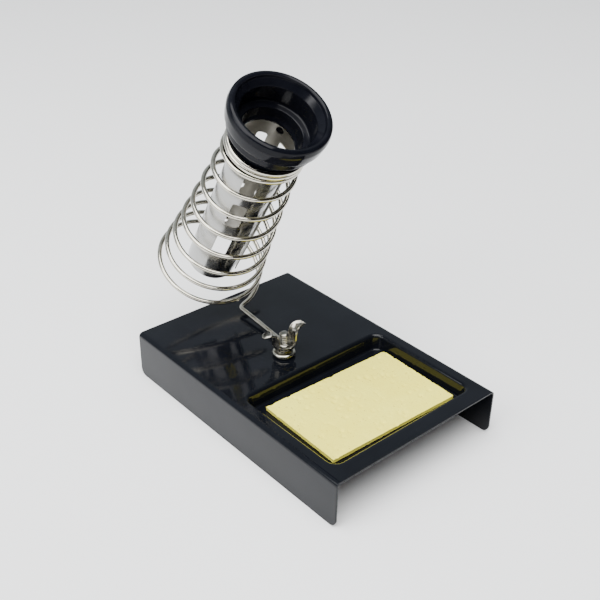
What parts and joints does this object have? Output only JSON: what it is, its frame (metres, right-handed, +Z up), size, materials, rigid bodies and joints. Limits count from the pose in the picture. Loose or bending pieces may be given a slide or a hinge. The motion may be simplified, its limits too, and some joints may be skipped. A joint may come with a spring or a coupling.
{
  "type": "soldering iron stand",
  "caption": "Folded steel base with a sponge tray and a coiled wire holder, clamped by a wing nut, with a funnel and a perforated heat tube.",
  "frame": {"origin": "on the bench, at the middle of the whole stand's outline seen from above", "axes": "+X to the right across the base, +Y from the sponge tray at the front to the back, +Z up from the bench"},
  "size_m": [0.1, 0.175, 0.1597],
  "materials": {
    "black_paint": "gloss black stoving enamel",
    "cellulose": "matt compressed cellulose, pale yellow",
    "zinc_hardware": "bright plated",
    "nickel_wire": "bright nickel plating",
    "black_moulding": "glossy moulded thermoset",
    "bright_sheet": "bright rolled sheet"
  },
  "bodies": {
    "base": {"base_plate": "black_paint", "clamp_screw": "zinc_hardware", "head_washer": "zinc_hardware"},
    "sponge": {"sponge": "cellulose"},
    "holder": {"spring_holder": "nickel_wire", "funnel": "black_moulding", "heat_tube": "bright_sheet"},
    "washer": {"lock_washer": "zinc_hardware"},
    "nut": {"wing_nut": "zinc_hardware"}
  },
  "joints": [
    {"name": "holder_swivel", "type": "hinge", "parent": "base", "child": "holder", "pos_m": [-0.006, -0.00195, 0.02595], "axis": [0, 0, 1], "continuous": true},
    {"name": "sponge_lift", "type": "slide", "parent": "base", "child": "sponge", "axis": [0, 0, 1], "range_m": [0, 0.006]},
    {"name": "nut_spin", "type": "hinge", "parent": "base", "child": "washer", "pos_m": [-0.006, -0.00195, 0.0285], "axis": [0, 0, 1], "range_deg": [0, 2520]},
    {"name": "nut_rise", "type": "slide", "parent": "washer", "child": "nut", "axis": [0, 0, 1], "range_m": [0, 0.0074]}
  ],
  "couplings": [
    {"joint": "nut_spin", "follows": "nut_rise", "rad_per_m": 5938.7}
  ]
}
